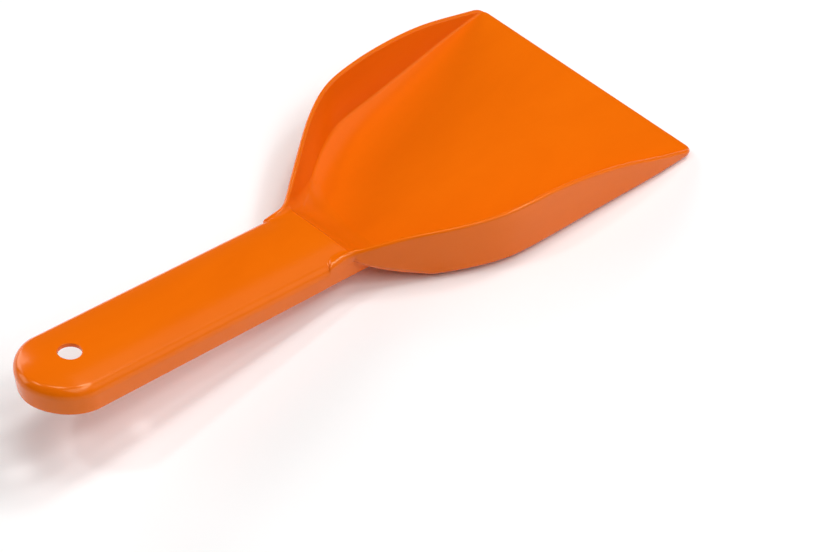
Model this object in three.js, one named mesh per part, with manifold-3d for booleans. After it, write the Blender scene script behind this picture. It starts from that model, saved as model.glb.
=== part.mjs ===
// Hand scoop: a one-piece moulded shell with a flared open-fronted pan and a
// raised, crowned channel handle with a hanging hole.
// Millimetres. X across, +Y from the handle end towards the lip, +Z up.
// Origin: middle of the bounding box in X and Y, at the height of the pan's underside.
// The moulding is divided along its natural creases into its regions, each one
// a closed solid kept a hairline (GAP) from its neighbours.
import * as THREE from "three";
import * as BufferGeometryUtils from "three/addons/utils/BufferGeometryUtils.js";
import Module from "manifold-3d";

const wasm = await Module();
wasm.setup();

// ---- driving dimensions -------------------------------------------------
const LENGTH = 262;          // handle end to lip
const Y0 = -LENGTH / 2;      // handle end in the part frame
const WALL = 1.8;            // wall and floor thickness
const GAP = 0.3;             // hairline between neighbouring regions

// handle
const NECK = 131.3;          // where the handle top ends and the bowl begins, from the handle end
const HANDLE_HALF = 17.6;    // half width at the skirt's lower edge
const EDGE_FLARE = 0.2;      // the top edge stands this far outside the lower edge
const CAP_LENGTH = 17.2;     // length of the rounded end
const CAP_POWER = 1.85;      // roundness of the end in plan (2 is an ellipse)
const CROWN = 3.4;           // how far the top surface drops from its middle to its edge
const EDGE_RADIUS = 3.1;     // rounding between the top and the skirt
const TOP_AT_END = 46.0;     // height of the crown line at the handle end
const TOP_AT_NECK = 20.15;   // and at the neck
const SKIRT_AT_END = 32.1;   // height of the skirt's lower edge at the handle end
const SKIRT_AT_NECK = 8.15;  // and at the neck
const HOLE_Y = 20.6;         // hanging hole, from the handle end
const HOLE_R = 4.15;

// pan rim: half width and height at nine even stations from the neck to the lip
const RIM_X = [18.58, 29.84, 41.25, 48.68, 50.78, 52.49, 54.02, 55.35, 55.9];
const RIM_Z = [19.72, 22.63, 24.12, 24.99, 23.8, 20.74, 15.87, 8.73, 1.8];
const LIP_CORNER_R = 4.5;    // plan rounding of the two lip corners
const WALL_DRAFT = Math.tan((3 * Math.PI) / 180);
const FOOT = 2.0;            // height of the walls' outer bottom edge
const BLEND_RISE = 2.3;      // how far the floor rises where it meets the walls
const BLEND_WIDTH = 19;      // over this width
const RAMP_LENGTH = 20;      // neck to the foot of the bowl's back slope
const RAMP_POWER = 1.6;      // its hollow profile

// ---- small helpers --------------------------------------------------------
// monotone cubic through evenly spaced values
function monotone(vals) {
  const n = vals.length, d = [], m = new Array(n).fill(0);
  for (let i = 0; i < n - 1; i++) d.push(vals[i + 1] - vals[i]);
  for (let i = 1; i < n - 1; i++) m[i] = d[i - 1] * d[i] > 0 ? 2 / (1 / d[i - 1] + 1 / d[i]) : 0;
  const end = (a, b) => {
    let e = (3 * a - b) / 2;
    if (e * a <= 0) e = 0;
    else if (a * b < 0 && Math.abs(e) > 3 * Math.abs(a)) e = 3 * a;
    return e;
  };
  m[0] = end(d[0], d[1]);
  m[n - 1] = end(d[n - 2], d[n - 3]);
  return (t) => {
    const s = Math.min(Math.max(t, 0), 1) * (n - 1), i = Math.min(Math.floor(s), n - 2), u = s - i;
    const u2 = u * u, u3 = u2 * u;
    return vals[i] * (2 * u3 - 3 * u2 + 1) + m[i] * (u3 - 2 * u2 + u) + vals[i + 1] * (3 * u2 - 2 * u3) + m[i + 1] * (u3 - u2);
  };
}
const rimX = monotone(RIM_X), rimZ = monotone(RIM_Z);
const panT = (y) => (y - NECK) / (LENGTH - NECK);

class Shell {
  constructor() { this.v = []; }
  tri(a, b, c) { this.v.push(a, b, c); }
  quad(a, b, c, d) { this.tri(a, b, c); this.tri(a, c, d); }
  // grid of rows; faces wind so that the normal is (along row) x (to the next row)
  grid(rows, flip = false) {
    for (let j = 0; j < rows.length - 1; j++)
      for (let i = 0; i < rows[j].length - 1; i++) {
        const a = rows[j][i], b = rows[j][i + 1], c = rows[j + 1][i + 1], d = rows[j + 1][i];
        if (flip) this.quad(a, d, c, b); else this.quad(a, b, c, d);
      }
  }
  geometry() {
    const key = (p) => p.map((q) => Math.round(q * 2e3)).join(",");
    const pos = [];
    for (let i = 0; i < this.v.length; i += 3) {
      const [a, b, c] = [this.v[i], this.v[i + 1], this.v[i + 2]];
      const ka = key(a), kb = key(b), kc = key(c);
      if (ka === kb || kb === kc || ka === kc) continue;
      for (const p of [a, b, c]) pos.push(p[0], p[1] + Y0, p[2]);
    }
    let g = new THREE.BufferGeometry();
    g.setAttribute("position", new THREE.Float32BufferAttribute(pos, 3));
    return BufferGeometryUtils.mergeVertices(g, 1e-3);
  }
}
// closed slab between an upper and a lower grid of the same size
function slab(top, bottom) {
  const s = new Shell();
  s.grid(top);
  s.grid(bottom, true);
  const n = top.length - 1, m = top[0].length - 1;
  const side = (t, b) => { for (let i = 0; i < t.length - 1; i++) s.quad(b[i], b[i + 1], t[i + 1], t[i]); };
  side(top[0], bottom[0]);
  side(top.map((r) => r[m]), bottom.map((r) => r[m]));
  side([...top[n]].reverse(), [...bottom[n]].reverse());
  side(top.map((r) => r[0]).reverse(), bottom.map((r) => r[0]).reverse());
  return s;
}
// closed loft through a list of closed sections (each wound the same way)
function loft(sections) {
  const s = new Shell();
  s.grid(sections.map((r) => [...r, r[0]]));
  const cap = (r, flip) => {
    const pts = r.cap.map((p) => new THREE.Vector2(p[0], p[1]));
    const ccw = THREE.ShapeUtils.area(pts) > 0;
    for (const [i, j, k] of THREE.ShapeUtils.triangulateShape(pts, [])) {
      const same = THREE.ShapeUtils.area([pts[i], pts[j], pts[k]]) > 0 === ccw;
      flip === same ? s.tri(r[i], r[k], r[j]) : s.tri(r[i], r[j], r[k]);
    }
  };
  cap(sections[0], true);
  cap(sections[sections.length - 1], false);
  return s;
}
function toSolid(g) {
  const p = g.clone();
  p.deleteAttribute("normal"); p.deleteAttribute("uv");
  const m = BufferGeometryUtils.mergeVertices(p, 1e-3);
  return new wasm.Manifold(new wasm.Mesh({
    numProp: 3,
    vertProperties: new Float32Array(m.attributes.position.array),
    triVerts: new Uint32Array(m.index.array),
  }));
}
function fromSolid(s) {
  const m = s.getMesh();
  const g = new THREE.BufferGeometry();
  const n = m.vertProperties.length / m.numProp, pos = new Float32Array(n * 3);
  for (let i = 0; i < n; i++) for (let k = 0; k < 3; k++) pos[i * 3 + k] = m.vertProperties[i * m.numProp + k];
  g.setAttribute("position", new THREE.BufferAttribute(pos, 3));
  g.setIndex(new THREE.BufferAttribute(new Uint32Array(m.triVerts), 1));
  return g;
}

// ---- heights ----------------------------------------------------------------
const lerp = (a, b, t) => a + (b - a) * t;
const topLine = (y) => lerp(TOP_AT_END, TOP_AT_NECK, y / NECK);
const skirtLine = (y) => lerp(SKIRT_AT_END, SKIRT_AT_NECK, y / NECK);
const TOP_FALL = (TOP_AT_END - TOP_AT_NECK) / NECK, SKIRT_FALL = (SKIRT_AT_END - SKIRT_AT_NECK) / NECK;
const crownTop = (y, rho) => topLine(y) - CROWN * rho * rho;
// ramp height above the floor at distance y from the handle end
const ramp = (y, z0) => {
  const t = Math.min(Math.max((y - NECK) / RAMP_LENGTH, 0), 1);
  return (z0 - WALL) * Math.pow(1 - t, RAMP_POWER);
};
// floor's rise near the walls; d is the distance from the inner wall face
const blendRise = (y, d) => {
  const fade = Math.min(1, (LENGTH - y) / 90), w = BLEND_WIDTH * (0.35 + 0.65 * fade);
  const t = Math.max(0, 1 - d / w);
  return BLEND_RISE * fade * t * t;
};

// ---- outline of the pan's wall, neck to the middle side of the lip corner ----
function panOutline() {
  const pts = [];
  const yEnd = LENGTH - LIP_CORNER_R;
  const n = 30;
  for (let i = 0; i <= n; i++) {
    const y = lerp(NECK + GAP, yEnd, i / n);
    pts.push({ x: rimX(panT(y)), y, z: rimZ(panT(y)) });
  }
  const xc = pts[n].x - LIP_CORNER_R;
  for (let i = 1; i <= 6; i++) {
    const a = (i / 6) * (Math.PI / 2);
    const y = yEnd + LIP_CORNER_R * Math.sin(a);
    pts.push({ x: xc + LIP_CORNER_R * Math.cos(a), y, z: Math.max(WALL, rimZ(panT(y))) });
  }
  for (let i = 0; i < pts.length; i++) {
    const a = pts[Math.max(0, i - 1)], b = pts[Math.min(pts.length - 1, i + 1)];
    let tx = b.x - a.x, ty = b.y - a.y;
    if (i === pts.length - 1) { tx = -1; ty = 0; }
    const l = Math.hypot(tx, ty);
    pts[i].nx = ty / l; pts[i].ny = -tx / l;
    if (i === 0) { pts[i].nx = 1; pts[i].ny = 0; }
  }
  return pts;
}
const outline = panOutline();
// underside height of the wall: it lifts with the back slope near the neck
const wallFoot = (y) => Math.max(0, ramp(y, 17.2) * 0.97);
// one wall section: outer face, rounded rim, inner face, rounded foot
function wallSection(p) {
  const h = p.z, foot = Math.min(wallFoot(p.y), h - WALL);
  const f = Math.min(FOOT, (h - foot) * 0.4);
  const at = (q, z) => [p.x + p.nx * q, p.y + p.ny * q, z];
  const drop = (z) => -(h - z) * WALL_DRAFT;
  const rows = [
    [drop(foot + f), foot + f], [drop(foot + f * 0.35) - f * 0.25, foot + f * 0.3], [drop(foot) - f * 0.7, foot],
    [drop(foot) - WALL, foot],
    [drop(h - 0.5) - WALL, Math.max(foot + 0.8, h - 0.5)], [-WALL + 0.45, h], [-0.45, h], [drop(h - 0.5), Math.max(foot + f + 0.05, h - 0.5)],
  ];
  const sec = rows.map(([q, z]) => at(q, z));
  sec.cap = rows;
  return sec;
}
function wall(side) {
  let secs = outline.map(wallSection);
  if (side < 0) secs = secs.map((s) => {
    const r = s.map((p) => [-p[0], p[1], p[2]]).reverse();
    r.cap = [...s.cap].reverse().map((q) => [-q[0], q[1]]);
    return r;
  });
  return loft(secs);
}
// inner face of the wall as half width at y, at floor level
function innerHalf(y) {
  const inner = outline.map((p) => {
    const q = -(p.z - Math.min(wallFoot(p.y), p.z - WALL)) * WALL_DRAFT - WALL;
    return [p.x + p.nx * q, p.y + p.ny * q];
  });
  const last = inner[inner.length - 1];
  if (y >= last[1] - GAP) return last[0];
  for (let i = 0; i < inner.length - 1; i++) {
    const [a, b] = [inner[i], inner[i + 1]];
    if ((y >= a[1] || i === 0) && y <= b[1]) return a[0] + ((b[0] - a[0]) * (y - a[1])) / (b[1] - a[1]);
  }
  return last[0];
}

// ---- pan floor -----------------------------------------------------------------
const FLOOR_START = NECK + RAMP_LENGTH * 0.8;
function plate(ys, cols, zTop, zBottom) {
  const top = [], bottom = [];
  for (const y of ys) {
    const half = innerHalf(y) - GAP;
    const rt = [], rb = [];
    for (let i = 0; i <= cols; i++) {
      const u = (2 * i) / cols - 1;
      const x = half * Math.sign(u) * Math.pow(Math.abs(u), 0.75);
      rt.push([x, y, zTop(x, y, half)]);
      rb.push([x, y, zBottom(x, y, half)]);
    }
    top.push(rt); bottom.push(rb);
  }
  return slab(top, bottom);
}
// the handle's crown carries on into the top of the ramp
const neckTop = (x) => TOP_AT_NECK - CROWN * Math.min(1, Math.abs(x) / HANDLE_HALF) ** 2;
const floorTop = (x, y, half) => WALL + ramp(y, neckTop(x * HANDLE_HALF / Math.max(half, 1))) + blendRise(y, half - Math.abs(x));
const floorBottom = (x, y, half) => Math.max(0, floorTop(x, y, half) - WALL * (1 + 0.55 * Math.max(0, 1 - (y - NECK) / RAMP_LENGTH)));
const floorYs = [];
for (let i = 0; i <= 20; i++) floorYs.push(lerp(FLOOR_START + GAP, LENGTH - LIP_CORNER_R - 0.5, i / 20));
for (const d of [3.4, 2.6, 2.15, 1.4, 0]) floorYs.push(LENGTH - d);
const rampYs = [];
for (let i = 0; i <= 8; i++) rampYs.push(lerp(NECK + GAP, FLOOR_START, i / 8));

// ---- handle ----------------------------------------------------------------------
// outline of the handle's top edge, neck (+X) round the tip to neck (-X), with outward normals
function handlePath(straight, round) {
  const w = HANDLE_HALF + EDGE_FLARE, half = [];
  for (let i = 0; i < straight; i++) half.push([w, lerp(NECK - GAP, CAP_LENGTH, i / straight)]);
  for (let i = 0; i <= round; i++) {
    const a = (i / round) * (Math.PI / 2), n = 2 / CAP_POWER;
    half.push([i === round ? 0 : w * Math.pow(Math.cos(a), n), CAP_LENGTH * (1 - Math.pow(Math.sin(a), n))]);
  }
  const full = [...half, ...half.slice(0, -1).reverse().map(([x, y]) => [-x, y])];
  const last = full.length - 1;
  return full.map((p, i) => {
    const a = full[Math.max(0, i - 1)], b = full[Math.min(last, i + 1)];
    const tx = b[0] - a[0], ty = b[1] - a[1], l = Math.hypot(tx, ty);
    let n = [-ty / l, tx / l];
    if (i === 0) n = [1, 0];
    if (i === last) n = [-1, 0];
    return { p, n };
  });
}
const crownSlope = Math.atan2(2 * CROWN, HANDLE_HALF);
const filletInset = EDGE_RADIUS * (1 - Math.sin(crownSlope));
const filletTopDrop = CROWN * ((HANDLE_HALF + EDGE_FLARE - filletInset) / HANDLE_HALF) ** 2;
function handleTop() {
  const path = handlePath(14, 12), inset = filletInset + GAP;
  const outer = path.slice(0, (path.length + 1) / 2).map(({ p, n }) => [p[0] - n[0] * inset, p[1] - n[1] * inset]);
  const deep = inset + WALL * Math.sin(crownSlope);
  const under = path.slice(0, (path.length + 1) / 2).map(({ p, n }) => [p[0] - n[0] * deep, p[1] - n[1] * deep]);
  outer[outer.length - 1][0] = under[under.length - 1][0] = 0;
  const steps = 5, s = new Shell();
  const rows = (line, reach, drop) => line.map(([xo, yo]) => {
    const r = [];
    for (let k = 0; k <= steps; k++) {
      const t = k / steps, y = lerp(Math.max(yo, CAP_LENGTH), yo, t);
      const rho = (t * (HANDLE_HALF + EDGE_FLARE - reach)) / HANDLE_HALF;
      r.push([xo * t, y, crownTop(y, rho) - drop / Math.cos(crownSlope * rho)]);
    }
    return r;
  });
  const rowsT = rows(outer, inset, 0), rowsB = rows(under, deep, WALL);
  const mir = (rows) => rows.map((r) => r.map((p) => [-p[0], p[1], p[2]]));
  s.grid(rowsT, true); s.grid(rowsB, false);
  s.grid(mir(rowsT), false); s.grid(mir(rowsB), true);
  const edge = (t, b, flip) => {
    for (let i = 0; i < t.length - 1; i++)
      flip ? s.quad(b[i], t[i], t[i + 1], b[i + 1]) : s.quad(b[i], b[i + 1], t[i + 1], t[i]);
  };
  const oT = rowsT.map((r) => r[steps]), oB = rowsB.map((r) => r[steps]);
  edge(oT, oB, true); edge(mir([oT])[0], mir([oB])[0], false);
  edge(rowsT[0], rowsB[0], true); edge(mir([rowsT[0]])[0], mir([rowsB[0]])[0], false);
  const drill = new THREE.CylinderGeometry(HOLE_R, HOLE_R, 30, 28);
  drill.rotateX(Math.PI / 2);
  drill.translate(0, HOLE_Y + Y0, topLine(HOLE_Y));
  return fromSolid(toSolid(s.geometry()).subtract(toSolid(drill)));
}
// U-shaped skirt: outer face, rounded top edge, inner face; its two ends are cut
// back to follow the underside of the bowl's slope
function handleSkirt() {
  const path = handlePath(12, 14), n = path.length;
  const secs = path.map(({ p, n: [nx, ny] }, i) => {
    const y = p[1];
    const topZ = topLine(y), zc = topZ - filletTopDrop - EDGE_RADIUS * Math.cos(crownSlope);
    const zb = skirtLine(y);
    const rows = [[-EDGE_FLARE, zb]];
    for (const k of [0, 0.25, 0.5, 0.75, 1]) {
      const ang = lerp(Math.PI / 2, crownSlope, k);
      rows.push([-EDGE_RADIUS * (1 - Math.sin(ang)), zc + EDGE_RADIUS * Math.cos(ang)]);
    }
    const r = EDGE_RADIUS - WALL;
    for (const k of [1, 0.5, 0]) {
      const ang = lerp(Math.PI / 2, crownSlope, k);
      rows.push([-EDGE_RADIUS + r * Math.sin(ang), zc + r * Math.cos(ang)]);
    }
    rows.push([-EDGE_FLARE - WALL + 0.3, zb]);
    const end = i === 0 || i === n - 1;
    const sec = rows.map(([q, z], r) => {
      let yy = p[1] + ny * q, zz = z;
      if (end) {
        // slide this vertex along the handle until it reaches the slope's underside
        const fall = r === 0 || r === rows.length - 1 ? SKIRT_FALL : TOP_FALL;
        yy = NECK - GAP;
        for (let yt = NECK; yt < NECK + RAMP_LENGTH; yt += 0.1) {
          const zt = z - fall * (yt - NECK + GAP);
          if (wallFoot(yt) - 0.45 > zt) { yy = yt; zz = zt; }
        }
      }
      return [p[0] + nx * q, yy, zz];
    });
    sec.cap = rows;
    return sec;
  });
  return loft(secs);
}

// ---- assembly ----------------------------------------------------------------------
const scoop = new THREE.Group();
const orange = () => new THREE.MeshStandardMaterial({ color: 0xea6c02, roughness: 0.28, metalness: 0 });
function add(name, geometry) {
  geometry.deleteAttribute("normal"); geometry.deleteAttribute("uv");
  geometry.computeVertexNormals();
  const mesh = new THREE.Mesh(geometry, orange());
  mesh.name = name;
  scoop.add(mesh);
}
add("pan_floor", plate(floorYs, 14, floorTop, floorBottom).geometry());
add("neck_ramp", plate(rampYs, 10, floorTop, floorBottom).geometry());
add("pan_wall_right", wall(1).geometry());
add("pan_wall_left", wall(-1).geometry());
add("handle_top", handleTop());
add("handle_skirt", handleSkirt().geometry());

export default scoop;
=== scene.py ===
import math
import time
import bpy
import bmesh
import numpy as np
from mathutils import Matrix, Vector
from mathutils.geometry import delaunay_2d_cdt


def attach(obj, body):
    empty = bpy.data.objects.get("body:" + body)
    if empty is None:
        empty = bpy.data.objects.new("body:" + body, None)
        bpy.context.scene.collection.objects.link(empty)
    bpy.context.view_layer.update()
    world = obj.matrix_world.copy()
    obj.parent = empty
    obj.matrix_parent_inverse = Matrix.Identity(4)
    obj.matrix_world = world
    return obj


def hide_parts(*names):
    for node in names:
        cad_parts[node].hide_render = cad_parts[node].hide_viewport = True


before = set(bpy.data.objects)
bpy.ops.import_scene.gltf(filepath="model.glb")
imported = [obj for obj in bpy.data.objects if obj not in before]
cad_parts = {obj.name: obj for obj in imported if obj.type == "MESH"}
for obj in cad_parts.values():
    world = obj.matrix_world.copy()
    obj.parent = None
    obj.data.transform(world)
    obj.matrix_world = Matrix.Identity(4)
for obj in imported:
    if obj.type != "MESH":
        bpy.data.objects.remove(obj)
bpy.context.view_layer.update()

# ----------------------------------------------------------------------------
# The scoop's shape as one signed function, in millimetres.
# x is the distance from the middle plane, y runs from the handle end (0) to
# the lip (262), z is the height above the pan's underside.
# ----------------------------------------------------------------------------
LENGTH = 262.0
WALL = 1.8
NECK = 130.2
HALF = 17.6            # handle half width at the skirt's lower edge
CAP, CAP_D, CAP_P = 17.2, 17.0, 1.85   # rounded end: where it starts, depth, power
RAMP = 20.0
CROWN = 3.4
EDGE_R = 3.1
TOP0, TOP1 = 46.0, 20.15
SK0, SK1 = 32.1, 8.15
HOLE_Y, HOLE_R = 20.6, 4.15
LIP_R = 4.5
DRAFT = math.tan(math.radians(3))
TOP_FALL = (TOP0 - TOP1) / 131.3
SK_FALL = (SK0 - SK1) / 131.3

H_TAB = 0.05
_ty = np.arange(-5.0, LENGTH + 8.0, H_TAB)


def pchip(xk, yk, x):
    xk, yk = np.asarray(xk, float), np.asarray(yk, float)
    h = np.diff(xk); d = np.diff(yk) / h
    m = np.zeros(len(xk))
    for i in range(1, len(xk) - 1):
        if d[i - 1] * d[i] > 0:
            w1, w2 = 2 * h[i] + h[i - 1], h[i] + 2 * h[i - 1]
            m[i] = (w1 + w2) / (w1 / d[i - 1] + w2 / d[i])
    m[0], m[-1] = d[0], d[-1]
    i = np.clip(np.searchsorted(xk, x) - 1, 0, len(xk) - 2)
    t = (x - xk[i]) / h[i]
    t2, t3 = t * t, t * t * t
    return (yk[i] * (2 * t3 - 3 * t2 + 1) + m[i] * h[i] * (t3 - 2 * t2 + t)
            + yk[i + 1] * (3 * t2 - 2 * t3) + m[i + 1] * h[i] * (t3 - t2))


def smooth_table(tab, sigma):
    """Gaussian smoothing with a width that may vary along the table."""
    out = np.zeros_like(tab)
    levels = [0.6, 1.2, 2.4, 4.8]
    blurred = []
    for s in levels:
        n = int(4 * s / H_TAB)
        k = np.exp(-0.5 * (np.arange(-n, n + 1) * H_TAB / s) ** 2); k /= k.sum()
        blurred.append(np.convolve(np.pad(tab, n, mode="reflect", reflect_type="odd"), k, mode="valid"))
    for i in range(len(levels) - 1):
        a, b = levels[i], levels[i + 1]
        w = np.clip((sigma - a) / (b - a), 0, 1)
        sel = (sigma >= a) & (sigma <= b)
        out[sel] = ((1 - w) * blurred[i] + w * blurred[i + 1])[sel]
    return out


# half width of the outline, handle side to lip
_kx_y = [0, 60, 120, 129.6, 131.3, 147.6, 163.9, 175.0, 180.3, 188.0, 196.6, 213.0, 229.3, 245.7, 262.0]
_kx_x = [17.8, 17.8, 17.8, 17.8, 18.6, 29.84, 41.25, 47.0, 48.75, 50.0, 50.9, 52.49, 54.02, 55.40, 55.9]
_raw = np.interp(_ty, _kx_y[:5] + [262.0], _kx_x[:5] + [55.9])
_raw = np.where(_ty <= 131.3, _raw, pchip(_kx_y[4:], _kx_x[4:], np.maximum(_ty, 131.3)))
_sig = np.interp(_ty, [0, 120, 129, 138, 160, 262], [0.7, 0.9, 1.3, 2.4, 4.0, 4.0])
X_TAB = smooth_table(_raw, _sig)
DX_TAB = np.gradient(X_TAB, H_TAB)
# rim height
_kz_y = [0, 131.3, 147.6, 163.9, 180.3, 196.6, 213.0, 229.3, 245.7, 262.0, 270.0]
_kz_z = [19.7, 19.7, 22.63, 24.12, 24.99, 23.8, 20.74, 15.87, 8.73, 1.75, -1.6]
Z_TAB = smooth_table(pchip(_kz_y, _kz_z, _ty), np.full(len(_ty), 3.5))
Z_TAB = np.where(_ty < 128, np.minimum(Z_TAB, 19.75), Z_TAB)


def tab(t, y):
    return np.interp(y, _ty, t)


def rmax(a, b, r):
    """Intersection with a rounded edge."""
    return np.minimum(-r, np.maximum(a, b)) + np.hypot(np.maximum(a + r, 0), np.maximum(b + r, 0))


def smax(a, b, k):
    h = np.maximum(k - np.abs(a - b), 0) / k
    return np.maximum(a, b) + h * h * k * 0.25


def smin(a, b, k):
    h = np.maximum(k - np.abs(a - b), 0) / k
    return np.minimum(a, b) - h * h * k * 0.25


def sstep(a, b, t):
    t = np.clip((t - a) / (b - a), 0, 1)
    return t * t * (3 - 2 * t)


def F_raw(x, y, z):
    x = np.abs(x)
    X, DX = tab(X_TAB, y), tab(DX_TAB, y)
    zr = tab(Z_TAB, y)
    inv = 1 / np.sqrt(1 + DX * DX)

    # --- handle: a crowned channel with a rounded end ---------------------------
    cap = y < CAP
    a = x / HALF
    b = np.maximum(CAP - y, 0) / CAP_D
    p = CAP_P
    rho = np.power(np.power(a + 1e-9, p) + np.power(b + 1e-9, p), 1 / p)
    gx = np.power(rho + 1e-9, 1 - p) * np.power(a + 1e-9, p - 1) / HALF
    gy = np.power(rho + 1e-9, 1 - p) * np.power(b + 1e-9, p - 1) / CAP_D
    side = np.where(cap, (rho - 1) / np.maximum(np.hypot(gx, gy), 1e-3), x - HALF)
    top = TOP0 - TOP_FALL * y
    lean = 0.018 * (top - 5.5 - z)
    side = side - 0.2 + lean
    rho2 = np.where(cap, rho, a)
    crown = top - CROWN * rho2 * rho2
    C = (z - crown) / np.sqrt(1 + TOP_FALL ** 2 + (2 * CROWN * np.minimum(rho2, 1.1) / HALF) ** 2)
    h_out = rmax(side, C, EDGE_R)
    zs = SK0 - SK_FALL * y
    H = np.abs(h_out + WALL / 2) - WALL / 2
    H = rmax(H, (zs - z) * 0.984, 0.55)
    H = rmax(H, HOLE_R - np.hypot(x, y - HOLE_Y), 0.3)

    # --- floor of the pan, its ramp up to the handle ------------------------------
    near = 1 - sstep(132, 160, y)
    s_side = (x - X + DRAFT * sstep(126, 142, y) * (zr - z)) * inv + (1 - sstep(120, 132, y)) * lean
    s_in = s_side + WALL
    d1 = (18.0 + 0.69 * (y - 130.4) - x) * 0.823
    d2 = (50.3 + 0.085 * (y - 190) - x)
    d = smin(d1, d2, 14.0) - WALL - 1.1
    fade = sstep(LENGTH + 4, LENGTH - 95, y)
    t = np.maximum(0, 1 - np.maximum(d, -2) / (7 + 12 * fade))
    rise = 2.5 * fade * t ** 3
    xb = np.minimum(x, 30)
    yb = NECK + 1.2 * (xb / 13) ** 2
    s = y - yb
    xc = np.minimum(x, 16.0)
    zc = TOP0 - TOP_FALL * yb - CROWN * (xc / HALF) ** 2 - WALL

    def ramp(s):
        q = s / RAMP
        return zc * np.where(q > 0, np.power(np.maximum(1 - q, 0), 1.6), 1 - 1.6 * q)

    rise = rise * sstep(0, 14, s)
    zt = WALL + ramp(s) + rise
    zb = ramp(s + 1.2) + 0.45 * rise
    slope = np.where(s < RAMP, zc * 1.6 / RAMP * np.power(np.clip(1 - s / RAMP, 0, 1), 0.6), 0)
    k = 1 / np.sqrt(1 + slope * slope)
    # the hollow: over the ramp and floor, and back over the handle's crown
    over = top - CROWN * np.minimum(a, 1.1) ** 2 + 40 * np.maximum(s - 0.7, 0) ** 2
    zf = smin(zt, over, 0.5)
    kf = np.where(s > 0, k, 0.965)
    r_in = 0.8 + 1.9 * near
    I = rmax(s_in, (zf - z) * kf, r_in)

    # --- pan ------------------------------------------------------------------------
    s_out = rmax(s_side, y - LENGTH, LIP_R)
    O = rmax(s_out, (zb - z) * k, 0.8 + 1.2 * sstep(132, 146, y))
    soft = 0.85 + 1.0 * (1 - sstep(128, 140, y))
    P = rmax(O, (z - zr) * 0.97, soft)
    P = rmax(P, -I, 0.85)
    P = rmax(P, y - LENGTH, 0.6)
    P = np.maximum(P, (yb - 1.0) - y)

    # --- the rim runs back a little way along each edge of the handle -----------------
    w = sstep(14.2, 18.2, z)
    E = rmax(s_side * w + side * (1 - w), (z - zr) * 0.97, soft)
    E = rmax(E, -I, 0.45)
    E = rmax(E, (120.2 + (17.8 - x) - y) * 0.707, 0.35)
    E = np.maximum(E, -(h_out + WALL))
    E = np.maximum(E, y - (yb + 0.8))
    E = np.maximum(E, 15.0 - z)
    E = np.maximum(E, 11.0 - x)

    H = np.maximum(H, y - 142.0)
    H = np.maximum(H, -I)
    return np.minimum(np.minimum(H, E), P)


def F(x, y, z):
    """F_raw, with its creases softened round the neck."""
    x, y, z = np.broadcast_arrays(x, y, z)
    v = F_raw(x, y, z)
    m = (y > 116) & (y < 141) & (np.abs(v) < 1.2)
    if m.any():
        xm, ym, zm = x[m], y[m], z[m]
        e = 0.26 * sstep(116.5, 119, ym) * sstep(140.5, 137, ym)
        acc = 0
        for i in (-1, 1):
            for j in (-1, 1):
                for k in (-1, 1):
                    acc = acc + F_raw(xm + i * e, ym + j * e, zm + k * e)
        v[m] = acc / 8
    return v


# ----------------------------------------------------------------------------
# Surface of that function: naive surface nets, then projection onto it
# ----------------------------------------------------------------------------
def grad(P, h=0.04):
    g = np.empty_like(P)
    for i in range(3):
        e = np.zeros(3); e[i] = h
        a, b = P + e, P - e
        g[:, i] = (F(a[:, 0], a[:, 1], a[:, 2]) - F(b[:, 0], b[:, 1], b[:, 2])) / (2 * h)
    return g


def project(P, steps=3, limit=0.5):
    P = P.copy()
    for _ in range(steps):
        f = F(P[:, 0], P[:, 1], P[:, 2])
        g = grad(P)
        n2 = np.maximum((g * g).sum(1), 0.05)
        step = -g * (f / n2)[:, None]
        l = np.linalg.norm(step, axis=1)
        step *= np.minimum(1, limit / np.maximum(l, 1e-9))[:, None]
        P += step
    return P


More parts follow.
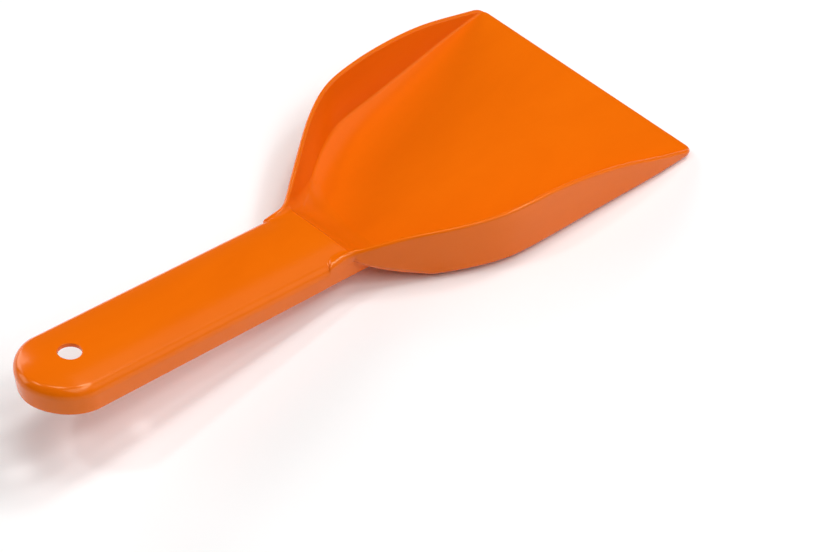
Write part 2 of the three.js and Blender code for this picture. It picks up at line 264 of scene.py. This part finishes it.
def nets(h):
    """Samples F on a grid, finely only near the surface, and joins one point per crossed cell."""
    q = 4
    nb = (int(math.ceil(58.5 / (q * h))), int(math.ceil((LENGTH + 3.0) / (q * h))), int(math.ceil(46.8 / (q * h))))
    y0, z0 = -1.4, -1.2
    half = (np.arange(nb[0] * q) + 0.0) * h
    ys = y0 + np.arange(nb[1] * q) * h
    zs = z0 + np.arange(nb[2] * q) * h
    mid = (q - 1) / 2 * h
    A, B, C = np.meshgrid(half[::q] + mid, ys[::q] + mid, zs[::q] + mid, indexing="ij")
    coarse = F_raw(A, B, C).astype(np.float32)
    D = np.repeat(np.repeat(np.repeat(coarse, q, 0), q, 1), q, 2)
    act = np.argwhere(np.abs(coarse) < q * h * 0.87 * 1.25 + 0.25)
    o = np.arange(q)
    for c0 in range(0, len(act), 6000):
        bl = act[c0:c0 + 6000]
        ix = (bl[:, 0, None] * q + o)[:, :, None, None]
        iy = (bl[:, 1, None] * q + o)[:, None, :, None]
        iz = (bl[:, 2, None] * q + o)[:, None, None, :]
        ix, iy, iz = np.broadcast_arrays(ix, iy, iz)
        D[ix, iy, iz] = F(half[ix], ys[iy], zs[iz])
    V = np.concatenate([D[:0:-1], D])
    xs = np.concatenate([-half[:0:-1], half])
    inside = V < 0
    c = np.zeros(tuple(n - 1 for n in V.shape), np.int8)
    for i in (0, 1):
        for j in (0, 1):
            for k in (0, 1):
                c += inside[i:V.shape[0] - 1 + i, j:V.shape[1] - 1 + j, k:V.shape[2] - 1 + k]
    act = np.argwhere((c > 0) & (c < 8))
    ident = np.full(c.shape, -1, np.int32)
    ident[act[:, 0], act[:, 1], act[:, 2]] = np.arange(len(act))
    acc = np.zeros((len(act), 3)); cnt = np.zeros(len(act))
    corner = [(i, j, k) for i in (0, 1) for j in (0, 1) for k in (0, 1)]
    val = {q: V[act[:, 0] + q[0], act[:, 1] + q[1], act[:, 2] + q[2]].astype(float) for q in corner}
    for q in corner:
        for ax in range(3):
            if q[ax] == 0:
                q2 = list(q); q2[ax] = 1; q2 = tuple(q2)
                a, b = val[q], val[q2]
                m = (a < 0) != (b < 0)
                t = np.where(m, a / np.where(m, a - b, 1), 0)
                pt = np.array(q, float)[None, :] + 0 * acc
                pt[:, ax] += t
                acc[m] += pt[m]; cnt[m] += 1
    loc = acc / np.maximum(cnt, 1)[:, None]
    P = np.c_[xs[act[:, 0]], ys[act[:, 1]], zs[act[:, 2]]] + loc * h
    quads = []
    for ax in range(3):
        o1, o2 = [(1, 2), (2, 0), (0, 1)][ax]
        sl0 = [slice(1, -1)] * 3; sl1 = [slice(1, -1)] * 3
        sl0[ax] = slice(0, -1); sl1[ax] = slice(1, None)
        a, b = inside[tuple(sl0)], inside[tuple(sl1)]
        e = np.argwhere(a != b)
        flip = a[e[:, 0], e[:, 1], e[:, 2]]
        base = e.copy()
        for q in (0, 1, 2):
            if q != ax:
                base[:, q] += 1
        cells = []
        for d1, d2 in ((-1, -1), (0, -1), (0, 0), (-1, 0)):
            cc = base.copy(); cc[:, o1] += d1; cc[:, o2] += d2
            cells.append(ident[cc[:, 0], cc[:, 1], cc[:, 2]])
        q = np.stack(cells, 1)
        q[~flip] = q[~flip][:, ::-1]
        quads.append(q)
    return P, np.concatenate(quads)


# ----------------------------------------------------------------------------
# The moulding is one shell, divided along its natural creases into the six
# regions of the frame. Each region is closed with its own faces at the cut.
# ----------------------------------------------------------------------------
def y_edge(x):
    return NECK + 1.2 * (np.minimum(np.abs(x), 30) / 13) ** 2


def g_neck(P):
    return P[:, 1] - y_edge(P[:, 0])


def g_skirt(P):
    return P[:, 2] - (TOP0 - TOP_FALL * P[:, 1] - 5.6)


def g_foot(P):
    return P[:, 1] - (y_edge(P[:, 0]) + RAMP)


def g_wall(side):
    def g(P):
        y = P[:, 1]
        run = np.sqrt(1 + tab(DX_TAB, y) ** 2)
        inside = sstep(132.6, 139.0, y)
        return side * P[:, 0] - tab(X_TAB, y) + (3.4 + 0.9 * (1 - sstep(136, 160, y))) * run * inside - 2.0 * (1 - inside)
    return g


def grad_of(g, P, h=0.02):
    out = np.empty_like(P)
    for i in range(3):
        e = np.zeros(3); e[i] = h
        out[:, i] = (g(P + e) - g(P - e)) / (2 * h)
    return out


def settle(P, g, on_skin, steps=4):
    """Moves points onto the cutting sheet, and onto the skin where they belong to it."""
    P = P.copy()
    start = P.copy()
    for _ in range(steps):
        gv, gg = g(P), grad_of(g, P)
        fv, fg = F(P[:, 0], P[:, 1], P[:, 2]), grad(P, 0.02)
        a11, a12, a22 = (fg * fg).sum(1), (fg * gg).sum(1), (gg * gg).sum(1)
        det = a11 * a22 - a12 * a12
        good = on_skin & (det > 0.15 * a11 * a22)
        det = np.where(good, det, 1)
        l1 = (a22 * fv - a12 * gv) / det
        l2 = (a11 * gv - a12 * fv) / det
        both = -(l1[:, None] * fg + l2[:, None] * gg)
        flat = -(gv / a22)[:, None] * gg
        step = np.where(good[:, None], both, flat)
        l = np.linalg.norm(step, axis=1)
        P += step * np.minimum(1, 0.3 / np.maximum(l, 1e-9))[:, None]
    far = np.linalg.norm(P - start, axis=1) > 0.6
    P[far] = start[far]
    return P


def edges_of(T):
    e = np.concatenate([T[:, [0, 1]], T[:, [1, 2]], T[:, [2, 0]]])
    return e


def cut(P, T, skin, g, flat2d):
    """Cuts a closed mesh by the sheet g = 0 into two closed meshes."""
    n = len(P)
    val = g(P)
    used = np.zeros(n, bool); used[T.ravel()] = True
    vskin = np.zeros(n, bool); vskin[T[skin].ravel()] = True
    E = np.sort(edges_of(T), 1)
    E = np.unique(E, axis=0)
    cr = E[val[E[:, 0]] * val[E[:, 1]] < 0]
    t = val[cr[:, 0]] / (val[cr[:, 0]] - val[cr[:, 1]])
    es = np.sort(edges_of(T[skin]), 1)
    ekeys = np.unique(es[:, 0].astype(np.int64) * n + es[:, 1])
    lim = np.minimum(0.2, 0.25 / np.maximum(np.linalg.norm(P[cr[:, 0]] - P[cr[:, 1]], axis=1), 1e-6))
    lim[~np.isin(cr[:, 0].astype(np.int64) * n + cr[:, 1], ekeys)] = 1e-4
    snap = np.unique(np.concatenate([cr[t < lim, 0], cr[t > 1 - lim, 1]]))
    P = P.copy()
    if len(snap):
        P[snap] = settle(P[snap], g, vskin[snap])
        val = g(P)
        val[snap] = 0
    sg = np.sign(val).astype(int)
    cr = E[sg[E[:, 0]] * sg[E[:, 1]] < 0]
    t = val[cr[:, 0]] / (val[cr[:, 0]] - val[cr[:, 1]])
    new = P[cr[:, 0]] * (1 - t)[:, None] + P[cr[:, 1]] * t[:, None]
    key = cr[:, 0].astype(np.int64) * n + cr[:, 1]
    on = np.isin(key, ekeys)
    new = settle(new, g, on)
    P = np.concatenate([P, new])
    order = np.argsort(key); skey = key[order]

    def mid(a, b):
        lo, hi = np.minimum(a, b).astype(np.int64), np.maximum(a, b).astype(np.int64)
        return (n + order[np.searchsorted(skey, lo * n + hi)]).astype(T.dtype)

    S = sg[T]
    crossing = (S.min(1) < 0) & (S.max(1) > 0)
    keep = ~crossing
    tot = S.sum(1)
    cen = g(P[T].mean(1))
    neg = [T[keep & ((tot < 0) | ((tot == 0) & (cen < 0)))]]
    pos = [T[keep & ((tot > 0) | ((tot == 0) & (cen >= 0)))]]
    nsk = [skin[keep & ((tot < 0) | ((tot == 0) & (cen < 0)))]]
    psk = [skin[keep & ((tot > 0) | ((tot == 0) & (cen >= 0)))]]

    def add(tri, sign, sk):
        m = sign < 0
        neg.append(tri[m]); nsk.append(sk[m]); pos.append(tri[~m]); psk.append(sk[~m])

    one = crossing & ((S == 0).sum(1) == 1)
    A, sA, kA = T[one], S[one], skin[one]
    r = np.argmax(sA == 0, 1); i = np.arange(len(A))
    v0, v1, v2 = A[i, r], A[i, (r + 1) % 3], A[i, (r + 2) % 3]
    if len(A):
        m = mid(v1, v2)
        add(np.stack([v0, v1, m], 1), sg[v1], kA)
        add(np.stack([v0, m, v2], 1), sg[v2], kA)
    two = crossing & ((S == 0).sum(1) == 0)
    A, sA, kA = T[two], S[two], skin[two]
    if len(A):
        lone = np.where(sA.sum(1) > 0, -1, 1)
        r = np.argmax(sA == lone[:, None], 1); i = np.arange(len(A))
        v0, v1, v2 = A[i, r], A[i, (r + 1) % 3], A[i, (r + 2) % 3]
        m1, m2 = mid(v0, v1), mid(v0, v2)
        add(np.stack([v0, m1, m2], 1), sg[v0], kA)
        add(np.stack([m1, v1, v2], 1), sg[v1], kA)
        add(np.stack([m1, v2, m2], 1), sg[v1], kA)
    neg, pos = np.concatenate(neg), np.concatenate(pos)
    nsk, psk = np.concatenate(nsk), np.concatenate(psk)
    # the open edges of the first half, chained into loops
    he = edges_of(neg).astype(np.int64)
    N = len(P)
    fwd, rev = he[:, 0] * N + he[:, 1], he[:, 1] * N + he[:, 0]
    open_e = he[~np.isin(fwd, rev)]
    nxt = {}
    for p, q in open_e.tolist():
        nxt.setdefault(p, []).append(q)
    loops = []
    while nxt:
        p0 = next(iter(nxt)); loop = [p0]; p = p0
        while True:
            q = nxt[p].pop()
            if not nxt[p]:
                del nxt[p]
            if q == p0:
                break
            loop.append(q); p = q
            if p not in nxt:
                break
        if len(loop) > 2:
            loops.append(loop)
    u = flat2d(P).astype(np.float32).astype(float)
    flat = [i for l in loops for i in l]
    if flat:
        rim_e, k0 = [], 0
        for l in loops:
            rim_e += [(k0 + i, k0 + (i + 1) % len(l)) for i in range(len(l))]
            k0 += len(l)
        res = delaunay_2d_cdt([Vector((float(u[i, 0]), float(u[i, 1]))) for i in flat], rim_e, [], 0, 1e-7, True)
        src = [o[0] if len(o) else -1 for o in res[3]]
        if min(src) < 0 or len(res[0]) != len(flat):
            print("  cap trouble", len(res[0]), len(flat), flush=True)
        C = np.array([[flat[src[i]] for i in t] for t in res[2] if len(t) == 3], dtype=T.dtype).reshape(-1, 3)
        # keep the triangles that lie inside the loops
        ea, eb = u[[flat[i] for i, j in rim_e]], u[[flat[j] for i, j in rim_e]]
        m = u[C].mean(1)
        inside = np.zeros(len(C), bool)
        for k in range(0, len(C), 400):
            px, py = m[k:k + 400, 0, None], m[k:k + 400, 1, None]
            hit = (ea[None, :, 1] > py) != (eb[None, :, 1] > py)
            xc = ea[None, :, 0] + (py - ea[None, :, 1]) * (eb[None, :, 0] - ea[None, :, 0]) / np.where(hit, eb[None, :, 1] - ea[None, :, 1], 1)
            inside[k:k + 400] = ((hit & (px < xc)).sum(1) % 2) == 1
        C = C[inside]
        nn = np.cross(P[C[:, 1]] - P[C[:, 0]], P[C[:, 2]] - P[C[:, 0]])
        if (nn * grad_of(g, P[C[:, 0]])).sum() < 0:
            C = C[:, ::-1]
        neg = np.concatenate([neg, C]); nsk = np.concatenate([nsk, np.zeros(len(C), bool)])
        pos = np.concatenate([pos, C[:, ::-1]]); psk = np.concatenate([psk, np.zeros(len(C), bool)])
    print("cut", len(loops), "loops", [(len(l), P[l[0]].round(1).tolist()) for l in loops][:5], "open", open_edges(neg), open_edges(pos), flush=True)
    return P, (neg, nsk), (pos, psk)


def open_edges(T):
    he = edges_of(T).astype(np.int64); N = int(T.max()) + 1
    fwd, rev = he[:, 0] * N + he[:, 1], he[:, 1] * N + he[:, 0]
    return int((~np.isin(fwd, rev)).sum())


STEP = 0.36
pts, quads = nets(STEP)
pts = project(pts, 3)
d1 = np.linalg.norm(pts[quads[:, 0]] - pts[quads[:, 2]], axis=1)
d2 = np.linalg.norm(pts[quads[:, 1]] - pts[quads[:, 3]], axis=1)
tris = np.where((d1 <= d2)[:, None, None], quads[:, [[0, 1, 2], [0, 2, 3]]], quads[:, [[0, 1, 3], [1, 2, 3]]]).reshape(-1, 3)
print("nets", round(time.process_time(), 1), len(pts), "points", len(tris), "triangles", flush=True)


def to_frame(P):
    return (P - np.array([0, LENGTH / 2, 0])) * 0.001


def make_object(name, P, T):
    me = bpy.data.meshes.new(name)
    me.vertices.add(len(P)); me.vertices.foreach_set("co", to_frame(P).ravel())
    me.loops.add(3 * len(T)); me.loops.foreach_set("vertex_index", np.ascontiguousarray(T, dtype=np.int32).ravel())
    me.polygons.add(len(T))
    me.polygons.foreach_set("loop_start", np.arange(0, 3 * len(T), 3, dtype=np.int32))
    me.update(calc_edges=True)
    ob = bpy.data.objects.new(name, me)
    bpy.context.scene.collection.objects.link(ob)
    return ob


def lighten(P, T, ratio):
    """Collapses the edges that flat areas don't need."""
    ob = make_object("work", P, T)
    m = ob.modifiers.new("d", "DECIMATE"); m.ratio = ratio
    ev = ob.evaluated_get(bpy.context.evaluated_depsgraph_get())
    me = ev.to_mesh()
    co = np.empty(len(me.vertices) * 3); me.vertices.foreach_get("co", co)
    me.calc_loop_triangles()
    tr = np.empty(len(me.loop_triangles) * 3, np.int32); me.loop_triangles.foreach_get("vertices", tr)
    ev.to_mesh_clear()
    mesh = ob.data
    bpy.data.objects.remove(ob); bpy.data.meshes.remove(mesh)
    return co.reshape(-1, 3) * 1000 + np.array([0, LENGTH / 2, 0]), tr.reshape(-1, 3)


pts, tris = lighten(pts, tris, 0.22)
pts = project(pts, 2, 0.1)
print("light", round(time.process_time(), 1), len(pts), len(tris), "open", open_edges(tris), flush=True)


def drop_flaps(T, sk):
    """Takes out pairs of triangles that lie back to back on the same three points."""
    _, inv, cnt = np.unique(np.sort(T, 1), axis=0, return_inverse=True, return_counts=True)
    ok = cnt[inv.ravel()] == 1
    return T[ok], sk[ok]


def part(P, T, skin, g, flat2d):
    """Cuts, and moves the sheet by a hair where the first position leaves an untidy edge."""
    best = None
    for shift in (0, 0.06, -0.06, 0.12, -0.12, 0.18, -0.18):
        Q, a, b = cut(P, T, skin, (lambda X: g(X) + shift), flat2d)
        a, b = drop_flaps(*a), drop_flaps(*b)
        n = open_edges(a[0]) + open_edges(b[0])
        if best is None or n < best[0]:
            best = (n, Q, a, b)
        if n == 0:
            break
    return best[1:]


skin = np.ones(len(tris), bool)
XZ, YZ, XY = (lambda P: P[:, [0, 2]]), (lambda P: P[:, [1, 2]]), (lambda P: P[:, [0, 1]])
pts, handle, pan = part(pts, tris, skin, g_neck, XZ)
pts, skirt, top = part(pts, *handle, g_skirt, XY)
pts, inner, wall_r = part(pts, *pan, g_wall(1), YZ)
pts, inner, wall_l = part(pts, *inner, g_wall(-1), YZ)
pts, ramp_part, floor_part = part(pts, *inner, g_foot, XZ)

pieces = {}
for name, (T, sk) in (("handle_top", top), ("handle_skirt", skirt), ("neck_ramp", ramp_part),
                      ("pan_floor", floor_part), ("pan_wall_right", wall_r), ("pan_wall_left", wall_l)):
    used, inv = np.unique(T, return_inverse=True)
    Q, T = pts[used], inv.reshape(-1, 3)
    ob = make_object(name + "_moulded", Q, T)
    g = grad(Q, 0.05)
    g /= np.maximum(np.linalg.norm(g, axis=1), 1e-9)[:, None]
    fn = np.cross(Q[T[:, 1]] - Q[T[:, 0]], Q[T[:, 2]] - Q[T[:, 0]])
    fn /= np.maximum(np.linalg.norm(fn, axis=1), 1e-12)[:, None]
    ln = np.where(sk[:, None, None], g[T], np.repeat(fn[:, None, :], 3, 1))
    me = ob.data
    E = np.sort(edges_of(T), 1); ek, cnt = np.unique(E, axis=0, return_counts=True)
    deg = (T[:, 0] == T[:, 1]) | (T[:, 1] == T[:, 2]) | (T[:, 0] == T[:, 2])
    print(name, "nan", np.isnan(ln).sum(), "bad edges", (cnt != 2).sum(), "degenerate", deg.sum(), Q[ek[cnt != 2][:, 0]][:6].round(1).tolist(), flush=True)
    me.polygons.foreach_set("use_smooth", np.ones(len(T), bool))
    me.normals_split_custom_set(ln.reshape(-1, 3).tolist())
    pieces[name] = ob
    print(name, len(Q), len(T), "open", open_edges(T), round(time.process_time(), 1), flush=True)

# ----------------------------------------------------------------------------
# Material
# ----------------------------------------------------------------------------
def plastic(name):
    """Glossy injection-moulded plastic: even pigment with faint flow clouds, a
    polished skin with soft patches of lower gloss, hair scratches and a trace of
    orange peel."""
    m = bpy.data.materials.new(name)
    m.use_nodes = True
    nt = m.node_tree
    b = nt.nodes["Principled BSDF"]
    N, L = nt.nodes.new, nt.links.new

    tc = N("ShaderNodeTexCoord")

    def mapping(scale, rot=(0, 0, 0)):
        q = N("ShaderNodeMapping")
        q.inputs["Scale"].default_value = scale
        q.inputs["Rotation"].default_value = rot
        L(tc.outputs["Object"], q.inputs["Vector"])
        return q

    def noise(vec, scale, detail=2.0, rough=0.5, distort=0.0):
        q = N("ShaderNodeTexNoise")
        q.inputs["Scale"].default_value = scale
        q.inputs["Detail"].default_value = detail
        q.inputs["Roughness"].default_value = rough
        q.inputs["Distortion"].default_value = distort
        L(vec.outputs[0], q.inputs["Vector"])
        return q

    def ramp(src, stops):
        q = N("ShaderNodeValToRGB")
        e = q.color_ramp.elements
        e[0].position, e[0].color = stops[0]
        e[1].position, e[1].color = stops[-1]
        for p, c in stops[1:-1]:
            n = e.new(p); n.color = c
        L(src, q.inputs["Fac"])
        return q

    def math_node(op, a, b_, clamp=False):
        q = N("ShaderNodeMath"); q.operation = op; q.use_clamp = clamp
        for i, v in enumerate((a, b_)):
            if hasattr(v, "links"):
                L(v, q.inputs[i])
            else:
                q.inputs[i].default_value = v
        return q.outputs[0]

    # pigment: stretched along the flow from the handle to the lip
    flow = mapping((1.0, 0.35, 1.0))
    cloud = noise(flow, 26, 4, 0.55, 0.6)
    colour = ramp(cloud.outputs["Fac"], [
        (0.30, (0.800, 0.138, 0.0015, 1)),
        (0.50, (0.835, 0.148, 0.0018, 1)),
        (0.70, (0.860, 0.158, 0.0022, 1))])
    L(colour.outputs["Color"], b.inputs["Base Color"])

    # gloss: polished, with soft duller patches and very fine hair scratches
    patch = noise(mapping((1, 1, 1)), 34, 3, 0.6)
    fine = noise(mapping((1, 1, 1)), 900, 2, 0.5)
    hair_a = noise(mapping((1800, 40, 700), (0, 0, 0.35)), 1.0, 1)
    hair_b = noise(mapping((60, 1500, 700), (0, 0, -0.5)), 1.0, 1)
    hair = math_node("ADD",
                     math_node("GREATER_THAN", hair_a.outputs["Fac"], 0.735),
                     math_node("GREATER_THAN", hair_b.outputs["Fac"], 0.745), True)
    r = math_node("MULTIPLY_ADD", patch.outputs["Fac"], 0.07)
    r.node.inputs[2].default_value = ROUGH - 0.035
    r = math_node("ADD", r, math_node("MULTIPLY", math_node("SUBTRACT", fine.outputs["Fac"], 0.5), 0.05))
    r = math_node("ADD", r, math_node("MULTIPLY", hair, 0.012))
    L(r, b.inputs["Roughness"])

    # surface: a trace of orange peel and the faint sink of thick moulding
    peel = noise(mapping((1, 1, 1)), 420, 2, 0.5)
    sink = noise(mapping((1, 1, 1)), 55, 2, 0.5)
    h = math_node("ADD", math_node("MULTIPLY", peel.outputs["Fac"], 0.10),
                  math_node("MULTIPLY", sink.outputs["Fac"], 0.9))
    h = math_node("SUBTRACT", h, math_node("MULTIPLY", hair, 0.003))
    bump = N("ShaderNodeBump")
    bump.inputs["Strength"].default_value = 0.30
    bump.inputs["Distance"].default_value = 0.00022
    L(h, bump.inputs["Height"])
    L(bump.outputs["Normal"], b.inputs["Normal"])

    b.inputs["IOR"].default_value = 1.42
    b.inputs["Specular Tint"].default_value = (1.0, 0.86, 0.52, 1)
    return m


ROUGH = 0.19
mat = plastic("orange_plastic")
for name, ob in pieces.items():
    ob.data.materials.append(mat)
    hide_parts(name)
    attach(ob, "root")

# ----------------------------------------------------------------------------
# Stage, light, camera
# ----------------------------------------------------------------------------
scene = bpy.context.scene
bm = bmesh.new()
bmesh.ops.create_grid(bm, x_segments=8, y_segments=8, size=6)
fme = bpy.data.meshes.new("floor"); bm.to_mesh(fme); bm.free()
floor = bpy.data.objects.new("floor", fme)
floor.location = (0, 0, -0.0003)
scene.collection.objects.link(floor)
fm = bpy.data.materials.new("floor_white"); fm.use_nodes = True
fb = fm.node_tree.nodes["Principled BSDF"]
fb.inputs["Base Color"].default_value = (0.97, 0.97, 0.97, 1)
fb.inputs["Roughness"].default_value = 0.9
fb.inputs["Specular IOR Level"].default_value = 0.1
fme.materials.append(fm)

world = bpy.data.worlds.new("studio"); scene.world = world
world.use_nodes = True
bg = world.node_tree.nodes["Background"]
bg.inputs[0].default_value = (1, 1, 1, 1)
bg.inputs[1].default_value = 0.0


def area(name, loc, target, size, power, size_y=None, color=(1, 1, 1)):
    l = bpy.data.lights.new(name, "AREA")
    l.energy = power; l.color = color
    l.shape = "RECTANGLE"; l.size = size; l.size_y = size_y or size
    o = bpy.data.objects.new(name, l)
    o.location = loc
    o.rotation_euler = (Vector(target) - Vector(loc)).to_track_quat("-Z", "Y").to_euler()
    scene.collection.objects.link(o)
    return o


def soft(name, az, el, power, size=0.7):
    """A softbox 1.3 m away. az is where it stands: 0 behind the handle, 90 on the +X side."""
    p, q = math.radians(az), math.radians(el)
    d = Vector((math.sin(p) * math.cos(q), -math.cos(p) * math.cos(q), math.sin(q)))
    t = Vector((0, 0, 0.02))
    area(name, tuple(t + d * 1.3), tuple(t), size, power)


soft("soft_right_high", 90, 50, 4.4)
soft("soft_left_low", 270, 22, 5.4)
soft("soft_top", 0, 89.9, 2.75, 0.32)
soft("soft_back_left_low", 315, 22, 4.6)
soft("soft_front_right_low", 135, 22, 1.6)
soft("soft_right_low", 90, 22, 0.4)
soft("soft_front_high", 180, 50, 0.8)
soft("soft_front_low", 180, 22, 0.5)
# compact boxes, for the bright lines along the rim and round the handle's end
soft("strip_right", 118, 52, 2.2, 0.2)
soft("strip_front_right", 145, 55, 2.4, 0.2)
soft("strip_front", 170, 63, 3.1, 0.22)
soft("strip_back", 330, 61, 1.9, 0.12)

cam = bpy.data.cameras.new("camera")
camo = bpy.data.objects.new("camera", cam)
scene.collection.objects.link(camo)
f = Vector((-0.5461367754575954, 0.4398167264035806, -0.7129487146130625))
r = Vector((0.6794025863487931, 0.7304348721518628, -0.06983568720262326))
u = Vector((-0.4900476998776251, 0.5225190376628682, 0.6977299671968514))
C = Vector((0.9009327706434694, -0.5553082100046279 - 0.131, 1.1421548073846077))
camo.matrix_world = Matrix(((r.x, u.x, -f.x, C.x), (r.y, u.y, -f.y, C.y), (r.z, u.z, -f.z, C.z), (0, 0, 0, 1)))
cam.sensor_fit = "HORIZONTAL"
cam.sensor_width = 36
cam.lens = 4545.9 * 36 / 820
cam.clip_start, cam.clip_end = 0.05, 20
scene.camera = camo
scene.view_settings.view_transform = "Standard"
